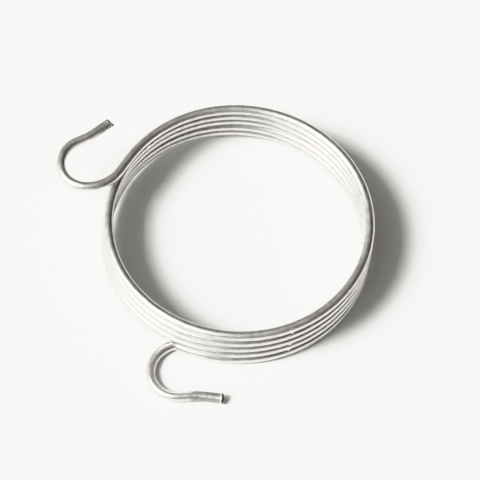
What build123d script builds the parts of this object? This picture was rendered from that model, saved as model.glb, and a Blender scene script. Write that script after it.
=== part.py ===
from build123d import *
import os
from math import sin, cos, radians, pi, tan, atan

# Torsion spring: one length of round spring wire, wound right-handed into a
# single-layer body with the coil axis upright, and bent outwards at each end
# into an open C hook.  Millimetres, +Z up.  The origin is on the coil axis, in
# the plane that the spring lies on.

# ---- driving dimensions -------------------------------------------------
wire_d = 1.00            # wire diameter
coil_mean_r = 12.88      # coil axis to wire centre: 26.8 over the wire, 24.8 inside
pitch = 1.06             # axial advance per turn, so the turns just clear
full_turns = 4           # whole turns; the two end angles below add the rest
top_angle = 148.0        # plan angle where the top hook leaves, CCW from +X
bottom_angle = 243.5     # plan angle where the bottom hook leaves
rest_gap = 0.0           # lowest point of the wire above the resting plane

# Top hook, corner points in plan (x, y) and the bend radius at each corner.
# It runs off the coil on the tangent, curls back the other way through about
# 206 degrees and ends in a short leg with a slight counter-bend.
top_corners = [(-12.95, 3.50), (-17.81, 3.50), (-17.81, 8.10), (-15.40, 9.48)]
top_radii = [3.80, 2.65, 2.70, 12.0]
top_end = (-13.10, 11.07)

# Bottom hook: a tight first bend straight off the coil, the C, then a leg with
# a shallow wave in it.
bottom_corners = [(-6.18, -11.33), (-8.62, -12.48), (-8.62, -17.32), (-3.80, -17.12)]
bottom_radii = [0.95, 3.05, 2.65, 5.0]
bottom_end = (-1.60, -17.42)

# ---- derived ------------------------------------------------------------
wire_r = wire_d / 2
turns = full_turns + ((top_angle - bottom_angle) % 360) / 360
slope = atan(pitch / (2 * pi * coil_mean_r))       # lead angle of the helix


def coil_point(angle_deg, z):
    a = radians(angle_deg)
    return Vector(coil_mean_r * cos(a), coil_mean_r * sin(a), z)


def hook(start, heading, corners, radii, end):
    # A planar run of tangent arcs and straights in the plane that holds the
    # helix tangent and is level across it, so it joins the coil with no step.
    # start: joint with the coil; heading: unit vector leaving the coil.
    flat = Vector(heading.X, heading.Y, 0).normalized()
    side = Vector(-flat.Y, flat.X, 0)
    pts = [start]
    for x, y in list(corners) + [end]:
        d = Vector(x - start.X, y - start.Y, 0)
        pts.append(start + heading * d.dot(flat) + side * d.dot(side))
    # the first corner sits on the tangent itself
    pts[1] = start + heading * (pts[1] - start).dot(heading)
    edges, here = [], pts[0]
    for i, r in enumerate(radii, start=1):
        u = (pts[i] - pts[i - 1]).normalized()
        v = (pts[i + 1] - pts[i]).normalized()
        half = radians(u.get_angle(v)) / 2
        t = r * tan(half)
        a, b = pts[i] - u * t, pts[i] + v * t
        mid = pts[i] + (v - u).normalized() * (r / cos(half) - r)
        run = (a - here).dot(u)
        if run < -1e-6:
            raise ValueError("corner %d: its arc starts %.3f before the last one ends" % (i, -run))
        if run > 1e-3:
            edges.append(Edge.make_line(here, a))
        else:
            a = here
        edges.append(Edge.make_three_point_arc(a, mid, b))
        here = b
    edges.append(Edge.make_line(here, pts[-1]))
    return edges


# the bottom hook's plane falls away slightly from the joint, so the joint is
# set a little above wire_r and the whole spring is dropped onto z = 0 below
z_bottom = wire_r + rest_gap
z_top = z_bottom + pitch * turns

ab, at_ = radians(bottom_angle), radians(top_angle)
up_b = Vector(-sin(ab) * cos(slope), cos(ab) * cos(slope), sin(slope))
up_t = Vector(-sin(at_) * cos(slope), cos(at_) * cos(slope), sin(slope))

coil = Helix(pitch=pitch, height=pitch * turns, radius=coil_mean_r)
coil = coil.rotate(Axis.Z, bottom_angle).moved(Location((0, 0, z_bottom)))

hook_b = hook(coil_point(bottom_angle, z_bottom), up_b * -1, bottom_corners, bottom_radii, bottom_end)
hook_t = hook(coil_point(top_angle, z_top), up_t, top_corners, top_radii, top_end)

path = Wire(hook_b + [coil] + hook_t)

# round section, square to the wire at its bottom end
tip = path @ 0
tan0 = path % 0
section = Plane(origin=tip, z_dir=tan0) * Circle(wire_r)
spring_wire = sweep(section, path=path)
if isinstance(spring_wire, (list, ShapeList)):
    spring_wire = spring_wire[0]

# drop it so that the lowest point touches z = 0
low = spring_wire.bounding_box().min.Z
spring_wire = spring_wire.moved(Location((0, 0, -low)))
spring_wire.label = "spring_wire"

length = path.length
print("turns %.3f  coil over wire %.2f  wire length %.2f" % (turns, 2 * coil_mean_r + wire_d, length))
print("volume %.4f  section x length %.4f  dropped %.4f" % (spring_wire.volume, pi * wire_r ** 2 * length, low))
print("box", spring_wire.bounding_box().min, spring_wire.bounding_box().max)

os.makedirs("parts", exist_ok=True)
export_step(spring_wire, "parts/spring_wire.step")
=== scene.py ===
import math

import bmesh
import bpy
import numpy as np
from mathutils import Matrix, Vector


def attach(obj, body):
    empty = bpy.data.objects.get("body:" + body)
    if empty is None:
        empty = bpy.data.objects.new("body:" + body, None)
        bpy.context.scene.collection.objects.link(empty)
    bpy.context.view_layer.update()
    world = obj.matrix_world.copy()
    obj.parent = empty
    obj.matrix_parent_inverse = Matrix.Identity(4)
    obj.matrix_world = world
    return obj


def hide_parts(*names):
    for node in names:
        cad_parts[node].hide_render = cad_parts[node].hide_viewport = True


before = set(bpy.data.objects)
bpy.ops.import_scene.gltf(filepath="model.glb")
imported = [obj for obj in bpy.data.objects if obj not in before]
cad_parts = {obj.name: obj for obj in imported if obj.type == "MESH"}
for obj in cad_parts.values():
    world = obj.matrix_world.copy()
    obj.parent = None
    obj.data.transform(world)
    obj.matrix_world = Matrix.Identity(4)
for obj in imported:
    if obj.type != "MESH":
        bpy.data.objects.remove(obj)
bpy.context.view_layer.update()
scene = bpy.context.scene
MM = 0.001

# ------------------------------------------------------------------ camera
# 60 degrees down on the coil axis, from the front, about a quarter of a metre away
Z_TOP = 5.54                       # height of the wire centre where the top hook leaves
ELEV = math.radians(60.2)
DIST = 250.0
TARGET = np.array([0.045, -2.52, Z_TOP])
look = np.array([0.0, math.cos(ELEV), -math.sin(ELEV)])
cam_data = bpy.data.cameras.new("camera")
cam_data.sensor_fit = "HORIZONTAL"
cam_data.sensor_width = 36.0
cam_data.lens = 10.2 * DIST * 36.0 / 480.0
cam_data.clip_start = 0.005
cam_data.clip_end = 20.0
cam = bpy.data.objects.new("camera", cam_data)
cam.location = Vector((TARGET - look * DIST) * MM)
cam.rotation_euler = (math.radians(90.0) - ELEV, 0.0, 0.0)
scene.collection.objects.link(cam)
scene.camera = cam

# --------------------------------------------------------- wire centre line
WIRE_R = 0.5
PITCH = 1.064
A_TOP, A_BOT = 148.0, 243.5        # plan angles where the hooks leave
A_REF = 145.0
R0, TAPER = 12.803, 0.055          # mean radius at the top, growth per turn down
OVAL, OVAL_AT = -0.167, 53.0       # the coil is a little out of round
LEAN = (-0.080, 0.003)             # and each turn sits a little further over


def coil_point(n):
    """n turns down from the plan angle A_REF; returns x, y, z in mm."""
    a = np.radians(A_REF - 360.0 * n)
    r = R0 + TAPER * n + OVAL * np.cos(2 * (a - math.radians(OVAL_AT)))
    x = r * np.cos(a) + LEAN[0] * n
    y = r * np.sin(a) + LEAN[1] * n
    # the third and fourth wires stand a little apart at the back
    far = np.radians(A_REF - 360.0 * n - 90.0)
    z = Z_TOP - PITCH * n + 0.10 * np.cos(far) * np.clip(1 - np.abs(n - 2.15) / 1.0, 0, 1) \
        - 0.10 * np.cos(far) * np.clip(1 - np.abs(n - 3.15) / 0.9, 0, 1)
    return np.stack([x, y, z], -1)


def filleted(pts, radii, step=0.02):
    """Dense points along straights joined by tangent arcs."""
    pts = [np.array(p, float) for p in pts]
    out, here = [], pts[0]

    def run(a, b):
        k = max(2, int(np.linalg.norm(b - a) / step))
        out.extend(a + (b - a) * t for t in np.linspace(0, 1, k, endpoint=False))

    for i, r in enumerate(radii, start=1):
        u = pts[i] - pts[i - 1]
        u /= np.linalg.norm(u)
        v = pts[i + 1] - pts[i]
        v /= np.linalg.norm(v)
        turn = math.acos(max(-1.0, min(1.0, float(u @ v))))
        t = r * math.tan(turn / 2)
        a = pts[i] - u * t
        run(here, a)
        c = v - u
        c /= np.linalg.norm(c)
        centre = pts[i] + c * (r / math.cos(turn / 2))
        e1 = a - centre
        e1 /= np.linalg.norm(e1)
        k = max(3, int(r * turn / step))
        for w in np.linspace(0, turn, k, endpoint=False):
            out.append(centre + r * (math.cos(w) * e1 + math.sin(w) * u))
        here = pts[i] + v * t
    run(here, pts[-1])
    out.append(pts[-1])
    return np.array(out)


def hook(start, heading, corners, radii, end):
    flat = heading * [1, 1, 0]
    flat /= np.linalg.norm(flat)
    pts = [start]
    for c in list(corners) + [end]:
        d = np.array([c[0] - start[0], c[1] - start[1], 0.0])
        pts.append(np.array([c[0], c[1], start[2] + heading[2] * float(d @ flat)]))
    pts[1] = start + heading * float((pts[1] - start) @ heading)
    return filleted(pts, radii)


N_TOP = (A_REF - A_TOP) / 360.0
N_BOT = 4 + ((A_REF - A_BOT) % 360.0) / 360.0
ns = np.arange(N_TOP, N_BOT, 0.02 / (2 * math.pi * 12.9))
coil = coil_point(ns)
t_top = coil[0] - coil[1]
t_top /= np.linalg.norm(t_top)
t_bot = coil[-1] - coil[-2]
t_bot /= np.linalg.norm(t_bot)
top = hook(coil[0], t_top,
           [(-12.95, 3.50), (-17.81, 3.50), (-17.81, 8.10), (-15.25, 9.35)],
           [3.80, 2.65, 2.70, 5.0], (-13.10, 11.07))
bottom = hook(coil[-1], t_bot,
              [(-6.35, -11.42), (-8.70, -12.50), (-8.70, -17.27), (-3.88, -17.07)],
              [0.85, 3.05, 2.65, 5.0], (-1.68, -17.37))
line = np.concatenate([top[::-1][:-1], coil, bottom[1:]])
# even spacing, then ease out the curvature jumps where an arc meets the next run
s = np.concatenate([[0], np.cumsum(np.linalg.norm(np.diff(line, axis=0), axis=1))])
L = float(s[-1])
fine = np.arange(0, L, 0.02)
line = np.stack([np.interp(fine, s, line[:, k]) for k in range(3)], -1)
kern = np.exp(-0.5 * (np.arange(-30, 31) / 9.0) ** 2)
kern /= kern.sum()
pad = np.concatenate([2 * line[0] - line[30:0:-1], line, 2 * line[-1] - line[-2:-32:-1]])
line = np.stack([np.convolve(pad[:, k], kern, "valid") for k in range(3)], -1)
s = np.concatenate([[0], np.cumsum(np.linalg.norm(np.diff(line, axis=0), axis=1))])
L = float(s[-1])
s_top = float(np.linalg.norm(np.diff(top, axis=0), axis=1).sum())
s_bot = L - float(np.linalg.norm(np.diff(bottom, axis=0), axis=1).sum())

# ------------------------------------------------------------ wire surface
SEG = 24


def smooth_noise(x, length, seed):
    """Smooth random numbers along x with the given length of wave, mean 0, about -1 to 1."""
    g = np.random.default_rng(seed)
    k = int(x.max() / length) + 4
    v = g.uniform(-1, 1, k)
    i = np.clip((x / length).astype(int), 0, k - 2)
    f = x / length - i
    f = f * f * (3 - 2 * f)
    return v[i] * (1 - f) + v[i + 1] * f


def at_plan(n_pass, angle):
    """Distance along the wire of the n-th pass (1 is the top one) over a plan angle."""
    n = (n_pass - 1) + ((A_REF - angle) % 360.0) / 360.0
    p = coil_point(np.array([n]))[0]
    lo, hi = np.searchsorted(s, s_top - 1), np.searchsorted(s, s_bot + 1)
    d = np.linalg.norm(line[lo:hi] - p, axis=1)
    return float(s[lo + int(np.argmin(d))])


# small dents, or raised scuffs where the depth is negative:
# distance along, angle around (0 outwards, 90 up), half-length, half-width, depth
dents = [
    (at_plan(1, 292.7), -30, 0.17, 36, -0.085),
    (at_plan(3, 292.3), -25, 0.17, 36, -0.095),
    (at_plan(4, 292.1), -30, 0.18, 36, -0.095),
    (at_plan(1, 292.0), 30, 0.12, 20, 0.050),
    (at_plan(1, 323.0), 20, 0.14, 20, 0.075),
]
# ring stations: close together at the hooks, the ends and the dents
want = np.full(len(s), 0.150)
want[(s < s_top + 2) | (s > s_bot - 2)] = 0.085
want[(s < 1.2) | (s > L - 4.2)] = 0.050
for d in dents:
    want[np.abs(s - d[0]) < 0.5] = 0.045
count = np.concatenate([[0], np.cumsum(np.diff(s) / (0.5 * (want[1:] + want[:-1])))])
stations = np.interp(np.linspace(0, count[-1], int(round(count[-1])) + 1), count, s)
C = np.stack([np.interp(stations, s, line[:, k]) for k in range(3)], -1)
T = np.gradient(C, stations, axis=0)
T /= np.linalg.norm(T, axis=1)[:, None]
up = np.array([0.0, 0.0, 1.0])
side = np.cross(T, up)
side /= np.linalg.norm(side, axis=1)[:, None]
# on the coil the wire runs clockwise seen from above, so T x up points inwards: turn it outwards
out = -side
nrm = np.cross(T, side)
nrm *= np.sign(nrm[:, 2])[:, None]
NS = len(stations)
theta = np.linspace(0, 2 * math.pi, SEG, endpoint=False)
ST, TH = np.meshgrid(stations, theta, indexing="ij")
rad = np.full(ST.shape, WIRE_R)
scuff_and_glint = np.zeros(ST.shape)
# drawing leaves the wire very slightly uneven along and round
rad += 0.0030 * smooth_noise(stations, 2.3, 1)[:, None]
rad += 0.0022 * smooth_noise(stations, 0.9, 2)[:, None] * np.cos(2 * TH + 1.3)
for d0, ang, hl, hw, dep in dents:
    da = (np.degrees(TH) - ang + 180) % 360 - 180
    if dep < 0:
        # the raised scuffs are real bumps; this mask also sets where their painted highlight colour goes
        scuff_and_glint += 1.5 * np.exp(-((ST - d0) / hl) ** 2 * 1.4 - (da / hw) ** 2 * 1.4)
    rad -= dep * np.exp(-((ST - d0) / hl) ** 2 * 1.4 - (da / hw) ** 2 * 1.4)
    rad += 0.25 * dep * np.exp(-((np.abs(ST - d0) - 1.25 * hl) / (0.4 * hl)) ** 2 - (da / hw) ** 2 * 1.4)
# gripping marks of the bending tool along the last of the bottom leg and, lighter, the top leg
e_b = L - ST
grip = np.clip((3.3 - e_b) / 0.5, 0, 1) * np.clip(e_b / 0.25, 0, 1)
marks = (0.6 * smooth_noise(stations, 0.34, 11)[:, None] * (0.55 + 0.45 * np.cos(TH - 1.2))
         + 0.5 * smooth_noise(stations, 0.22, 12)[:, None] * np.cos(2 * TH - 0.4)
         + 0.4 * smooth_noise(stations, 0.45, 13)[:, None] * np.cos(3 * TH + 2.0))
rad -= grip * (0.018 + 0.011 * marks)
# the cutter leaves a small raised rim, mostly on top
rad += 0.050 * np.exp(-(e_b / 0.085) ** 2) * (0.55 + 0.45 * np.sin(TH))
rad += 0.025 * np.exp(-(ST / 0.080) ** 2) * (0.5 - 0.5 * np.sin(TH))
grip_t = np.clip((1.6 - ST) / 0.5, 0, 1) * np.clip(ST / 0.2, 0, 1)
rad -= grip_t * (0.008 + 0.009 * marks)
# the wire flattens slightly on the inside and outside of the sharp first bend of the bottom hook
b0 = s_bot + 0.55
rad -= 0.022 * np.exp(-((ST - b0) / 0.5) ** 2) * np.cos(TH) ** 2
rad += 0.010 * np.exp(-((ST - b0) / 0.5) ** 2) * np.sin(TH) ** 2

pos = (C[:, None, :] + rad[..., None] * (np.cos(TH)[..., None] * out[:, None, :]
                                         + np.sin(TH)[..., None] * nrm[:, None, :]))

# 0 on plain wire, up to 1 where the tool gripped it, 1 on the cut faces
worn = np.broadcast_to(np.clip(0.75 * grip + 0.45 * grip_t, 0, 1), ST.shape)
verts = pos.reshape(-1, 3)
worn = worn.reshape(-1)
cut = np.zeros(len(verts))
# painted shade: the sides of the turns that face each other are darkened in the base colour, standing in for the
# shade in the gaps between the turns
turn = 2 * math.pi * 12.9
above = np.clip((ST - s_top - turn - 1) / 6, 0, 1) * np.clip((s_bot - ST) / 3, 0, 1)
below = np.clip((ST - s_top) / 4, 0, 1) * np.clip((s_bot - turn - ST) / 4, 0, 1)
gap_shade = (np.clip((np.sin(TH) - 0.62) / 0.33, 0, 1) * above
          + np.clip((-np.sin(TH) - 0.62) / 0.33, 0, 1) * below)
gap_shade = 0.45 * np.clip(gap_shade, 0, 1).reshape(-1)
scuff_and_glint = np.clip(scuff_and_glint, 0, 1).reshape(-1)
straight = np.stack([rad * np.cos(TH), rad * np.sin(TH), ST], -1).reshape(-1, 3)
i = np.arange(NS - 1)[:, None] * SEG
j = np.arange(SEG)[None, :]
j2 = (j + 1) % SEG
faces = np.stack([i + j, i + j2, i + j2 + SEG, i + j + SEG], -1).reshape(-1, 4)
faces = [tuple(f) for f in faces]


def cap(first, sgn, skew, skew_at, lip, lip_at, seed):
    """Sheared end: a skewed face with a rounded smooth half, a rough broken half and a small burr."""
    global verts, straight, faces, worn, cut, scuff_and_glint, gap_shade
    base = 0 if first else (NS - 1) * SEG
    k = 0 if first else NS - 1
    g = np.random.default_rng(seed)
    prev = np.arange(SEG) + base
    c, t, o, n = C[k], T[k] * sgn, out[k], nrm[k]
    new_v, new_s, new_f = [], [], []
    start = len(verts)
    rings = [0.985, 0.93, 0.82, 0.66, 0.48, 0.28, 0.12]
    depth = [0.030, 0.052, 0.060, 0.060, 0.058, 0.056, 0.055]
    for q, (f, dz) in enumerate(zip(rings, depth)):
        for m, th in enumerate(theta):
            x, y = f * math.cos(th), f * math.sin(th)
            along = dz + skew * (x * math.cos(skew_at) + y * math.sin(skew_at))
            # the side the cutter left last breaks away rough, with a thin lip at the rim
            side_ = x * math.cos(lip_at) + y * math.sin(lip_at)
            if f > 0.9:
                along += lip * max(0.0, side_) ** 3
            along += (0.018 * g.uniform(-1, 1)) * (0.35 + 0.65 * (side_ > 0.05)) * (f < 0.95)
            along -= 0.05 * math.exp(-((side_ - 0.12) / 0.16) ** 2) * (f < 0.9)
            rim = rad[k, m]
            new_v.append(c + t * along + rim * (x * o + y * n))
            new_s.append((rim * x, rim * y, stations[k] + sgn * along))
        cur = start + q * SEG + np.arange(SEG)
        for m in range(SEG):
            a, b = prev[m], prev[(m + 1) % SEG]
            d, e = cur[(m + 1) % SEG], cur[m]
            new_f.append((a, e, d, b) if not first else (a, b, d, e))
        prev = cur
    new_v.append(c + t * 0.05)
    new_s.append((0, 0, stations[k] + sgn * 0.05))
    mid = start + len(rings) * SEG
    for m in range(SEG):
        a, b = prev[m], prev[(m + 1) % SEG]
        new_f.append((a, mid, b) if not first else (a, b, mid))
    verts = np.concatenate([verts, np.array(new_v)])
    straight = np.concatenate([straight, np.array(new_s)])
    worn = np.concatenate([worn, np.ones(len(new_v))])
    scuff_and_glint = np.concatenate([scuff_and_glint, np.zeros(len(new_v))])
    gap_shade = np.concatenate([gap_shade, np.zeros(len(new_v))])
    cut = np.concatenate([cut, np.repeat([0.0] + [1.0] * (len(rings) - 1), SEG), [1.0]])
    faces = faces + [tuple(int(v) for v in f) for f in new_f]


cap(True, -1.0, 0.36, math.radians(-90), 0.05, math.radians(-60), 21)
cap(False, 1.0, 0.06, math.radians(-60), 0.05, math.radians(-50), 22)

mesh = bpy.data.meshes.new("wire")
mesh.from_pydata([tuple(v) for v in verts * MM], [], [tuple(int(q) for q in f) for f in faces])
mesh.validate()
at = mesh.attributes.new("straight", "FLOAT_VECTOR", "POINT")
at.data.foreach_set("vector", straight.astype(np.float32).ravel())
at = mesh.attributes.new("worn", "FLOAT", "POINT")
at.data.foreach_set("value", worn.astype(np.float32))
at = mesh.attributes.new("scuff_and_glint", "FLOAT", "POINT")
at.data.foreach_set("value", scuff_and_glint.astype(np.float32))
at = mesh.attributes.new("gap_shade", "FLOAT", "POINT")
at.data.foreach_set("value", gap_shade.astype(np.float32))
at = mesh.attributes.new("cut", "FLOAT", "POINT")
at.data.foreach_set("value", cut.astype(np.float32))
mesh.polygons.foreach_set("use_smooth", [True] * len(mesh.polygons))
mesh.update()
bm = bmesh.new()
bm.from_mesh(mesh)
bmesh.ops.recalc_face_normals(bm, faces=bm.faces)
print("open edges", sum(1 for e in bm.edges if len(e.link_faces) != 2), "volume mm3", bm.calc_volume() * 1e9, "tris", 2 * len(bm.faces))
bm.to_mesh(mesh)
bm.free()
wire = bpy.data.objects.new("bright_wire", mesh)
scene.collection.objects.link(wire)

# -------------------------------------------------------------- wire finish
mat = bpy.data.materials.new("bright_drawn_wire")
mat.use_nodes = True
nt = mat.node_tree
nodes, links = nt.nodes, nt.links
nodes.clear()
outn = nodes.new("ShaderNodeOutputMaterial")
bsdf = nodes.new("ShaderNodeBsdfPrincipled")
links.new(bsdf.outputs["BSDF"], outn.inputs["Surface"])
attr = nodes.new("ShaderNodeAttribute")
attr.attribute_name = "straight"


def mapping(scale):
    m = nodes.new("ShaderNodeMapping")
    m.inputs["Scale"].default_value = scale
    links.new(attr.outputs["Vector"], m.inputs["Vector"])
    return m.outputs["Vector"]


def noise(vec, scale, detail=3.0, rough=0.55):
    n = nodes.new("ShaderNodeTexNoise")
    n.inputs["Scale"].default_value = scale
    n.inputs["Detail"].default_value = detail
    n.inputs["Roughness"].default_value = rough
    links.new(vec, n.inputs["Vector"])
    return n.outputs["Fac"]


def ramp(fac, stops):
    r = nodes.new("ShaderNodeValToRGB")
    el = r.color_ramp.elements
    while len(el) > 1:
        el.remove(el[-1])
    el[0].position, el[0].color = stops[0][0], stops[0][1]
    for p, c in stops[1:]:
        e = el.new(p)
        e.color = c
    links.new(fac, r.inputs["Fac"])
    return r.outputs["Color"]


def grey(v):
    return (v, v, v, 1.0)


def math_node(op, a, b=None):
    m = nodes.new("ShaderNodeMath")
    m.operation = op
    for k, v in enumerate((a, b)):
        if v is None:
            continue
        if isinstance(v, (int, float)):
            m.inputs[k].default_value = v
        else:
            links.new(v, m.inputs[k])
    return m.outputs[0]


lines_fine = noise(mapping((22.0, 22.0, 0.55)), 1.0, 4.0, 0.6)     # drawing lines, along the wire
lines_wide = noise(mapping((7.0, 7.0, 0.22)), 1.0, 3.0, 0.5)
mottle = noise(mapping((2.6, 2.6, 1.5)), 1.0, 5.0, 0.62)           # mottled finish
speck = noise(mapping((7.0, 7.0, 4.5)), 1.0, 3.0, 0.7)

mix = nodes.new("ShaderNodeMix")
mix.data_type = "RGBA"
mix.blend_type = "MULTIPLY"
mix.inputs["Factor"].default_value = 1.0
base = ramp(mottle, [(0.30, (0.64, 0.63, 0.59, 1)), (0.52, (0.78, 0.77, 0.745, 1)), (0.75, (0.88, 0.88, 0.865, 1))])
tone = ramp(lines_fine, [(0.32, grey(0.78)), (0.66, grey(1.0))])
links.new(base, mix.inputs[6])
links.new(tone, mix.inputs[7])
# painted shade between the turns: the base colour is mixed towards dark grey where gap_shade is set
gap_shade_attr = nodes.new("ShaderNodeAttribute")
gap_shade_attr.attribute_name = "gap_shade"
gap_shade_mix = nodes.new("ShaderNodeMix")
gap_shade_mix.data_type = "RGBA"
links.new(gap_shade_attr.outputs["Fac"], gap_shade_mix.inputs["Factor"])
links.new(mix.outputs[2], gap_shade_mix.inputs[6])
gap_shade_mix.inputs[7].default_value = (0.30, 0.295, 0.30, 1)
wear = nodes.new("ShaderNodeAttribute")
wear.attribute_name = "worn"
fade = nodes.new("ShaderNodeMix")
fade.data_type = "RGBA"
links.new(wear.outputs["Fac"], fade.inputs["Factor"])
links.new(gap_shade_mix.outputs[2], fade.inputs[6])
links.new(ramp(speck, [(0.35, (0.17, 0.165, 0.155, 1)), (0.65, (0.40, 0.39, 0.375, 1))]), fade.inputs[7])
# the broken faces of the two cuts are dull and dark
sheared = nodes.new("ShaderNodeAttribute")
sheared.attribute_name = "cut"
dull = nodes.new("ShaderNodeMix")
dull.data_type = "RGBA"
links.new(sheared.outputs["Fac"], dull.inputs["Factor"])
links.new(fade.outputs[2], dull.inputs[6])
links.new(ramp(speck, [(0.35, (0.10, 0.096, 0.090, 1)), (0.65, (0.26, 0.255, 0.25, 1))]), dull.inputs[7])
# a raised scuff is real, rough metal, but its near-white, mostly non-metallic colour is a painted highlight
# standing in for its glint
scuff_and_glint_attr = nodes.new("ShaderNodeAttribute")
scuff_and_glint_attr.attribute_name = "scuff_and_glint"
pale = nodes.new("ShaderNodeMix")
pale.data_type = "RGBA"
links.new(scuff_and_glint_attr.outputs["Fac"], pale.inputs["Factor"])
links.new(dull.outputs[2], pale.inputs[6])
pale.inputs[7].default_value = (0.96, 0.945, 0.90, 1)
links.new(pale.outputs[2], bsdf.inputs["Base Color"])
links.new(math_node("SUBTRACT", 0.93, math_node("MULTIPLY", scuff_and_glint_attr.outputs["Fac"], 0.75)), bsdf.inputs["Metallic"])
r1 = math_node("MULTIPLY", mottle, 0.20)
r2 = math_node("MULTIPLY", lines_wide, 0.14)
rr = math_node("ADD", math_node("ADD", r1, r2), 0.16)
rr = math_node("ADD", rr, math_node("MULTIPLY", wear.outputs["Fac"], 0.22))
links.new(rr, bsdf.inputs["Roughness"])

b1 = nodes.new("ShaderNodeBump")
b1.inputs["Strength"].default_value = 0.35
b1.inputs["Distance"].default_value = 0.000010
links.new(lines_fine, b1.inputs["Height"])
b2 = nodes.new("ShaderNodeBump")
b2.inputs["Strength"].default_value = 0.50
b2.inputs["Distance"].default_value = 0.000022
links.new(speck, b2.inputs["Height"])
links.new(b1.outputs["Normal"], b2.inputs["Normal"])
links.new(b2.outputs["Normal"], bsdf.inputs["Normal"])
mesh.materials.append(mat)

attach(wire, "root")
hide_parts("spring_wire")

# ------------------------------------------------------------------- floor
bpy.ops.mesh.primitive_plane_add(size=1.2, location=(0, 0, 0))
floor = bpy.context.object
floor.name = "floor"
fm = bpy.data.materials.new("floor")
fm.use_nodes = True
fb = fm.node_tree.nodes["Principled BSDF"]
fb.inputs["Base Color"].default_value = (0.83, 0.83, 0.825, 1)
fb.inputs["Roughness"].default_value = 0.9
fb.inputs["Specular IOR Level"].default_value = 0.1
floor.data.materials.append(fm)

# ------------------------------------------------------------------- light
KEY_AZ, KEY_EL = math.radians(197.0), math.radians(47.5)
sun = bpy.data.lights.new("key", "SUN")
sun.energy = 5.6
sun.angle = math.radians(26.0)
so = bpy.data.objects.new("key", sun)
d = Vector((math.cos(KEY_AZ) * math.cos(KEY_EL), math.sin(KEY_AZ) * math.cos(KEY_EL), math.sin(KEY_EL)))
so.rotation_euler = d.to_track_quat("Z", "Y").to_euler()
scene.collection.objects.link(so)

world = bpy.data.worlds.new("studio")
scene.world = world
world.use_nodes = True
wn, wl = world.node_tree.nodes, world.node_tree.links
wn.clear()
wo = wn.new("ShaderNodeOutputWorld")
bg = wn.new("ShaderNodeBackground")
wl.new(bg.outputs["Background"], wo.inputs["Surface"])
tc = wn.new("ShaderNodeTexCoord")
sep = wn.new("ShaderNodeSeparateXYZ")
wl.new(tc.outputs["Generated"], sep.inputs["Vector"])


def world_ramp(fac, stops):
    r = wn.new("ShaderNodeValToRGB")
    el = r.color_ramp.elements
    while len(el) > 1:
        el.remove(el[-1])
    el[0].position, el[0].color = stops[0][0], stops[0][1] + (1.0,)
    for p, c in stops[1:]:
        el.new(p).color = c + (1.0,)
    wl.new(fac, r.inputs["Fac"])
    return r.outputs["Color"]


def warm(v, k):
    """Grey v, warmer for larger k."""
    return (v, v * (1 - 0.25 * k), v * (1 - k))


# a broad soft glow round the key that dies away towards the far side
dot = wn.new("ShaderNodeVectorMath")
dot.operation = "DOT_PRODUCT"
dot.inputs[1].default_value = tuple(d)
wl.new(tc.outputs["Generated"], dot.inputs[0])
half = wn.new("ShaderNodeMath")
half.operation = "MULTIPLY_ADD"
half.inputs[1].default_value = 0.5
half.inputs[2].default_value = 0.5
wl.new(dot.outputs["Value"], half.inputs[0])
glow = world_ramp(half.outputs[0], [(0.0, warm(0.03, 0.30)), (0.30, warm(0.04, 0.30)), (0.50, warm(0.07, 0.28)),
                                    (0.71, warm(0.20, 0.20)), (0.865, warm(0.44, 0.06)), (0.95, warm(0.75, 0.02)),
                                    (1.0, warm(1.20, -0.01))])
# and a pale surround low down on the left and in front
band = world_ramp(sep.outputs["Z"], [(0.0, warm(0.85, 0.02)), (0.10, warm(0.80, 0.02)), (0.22, warm(0.40, 0.02)),
                                     (0.38, (0.0, 0.0, 0.0))])
gx = wn.new("ShaderNodeMath")
gx.operation = "MULTIPLY_ADD"
gx.use_clamp = True
gx.inputs[1].default_value = -0.8
gx.inputs[2].default_value = 0.6
wl.new(sep.outputs["X"], gx.inputs[0])
low = wn.new("ShaderNodeVectorMath")
low.operation = "SCALE"
wl.new(band, low.inputs[0])
wl.new(gx.outputs[0], low.inputs["Scale"])
both = wn.new("ShaderNodeVectorMath")
both.operation = "ADD"
wl.new(glow, both.inputs[0])
wl.new(low.outputs["Vector"], both.inputs[1])
wl.new(both.outputs["Vector"], bg.inputs["Color"])
bg.inputs["Strength"].default_value = 1.0

scene.view_settings.view_transform = "Khronos PBR Neutral"
scene.view_settings.look = "None"
scene.view_settings.exposure = 0.0
scene.view_settings.gamma = 1.0
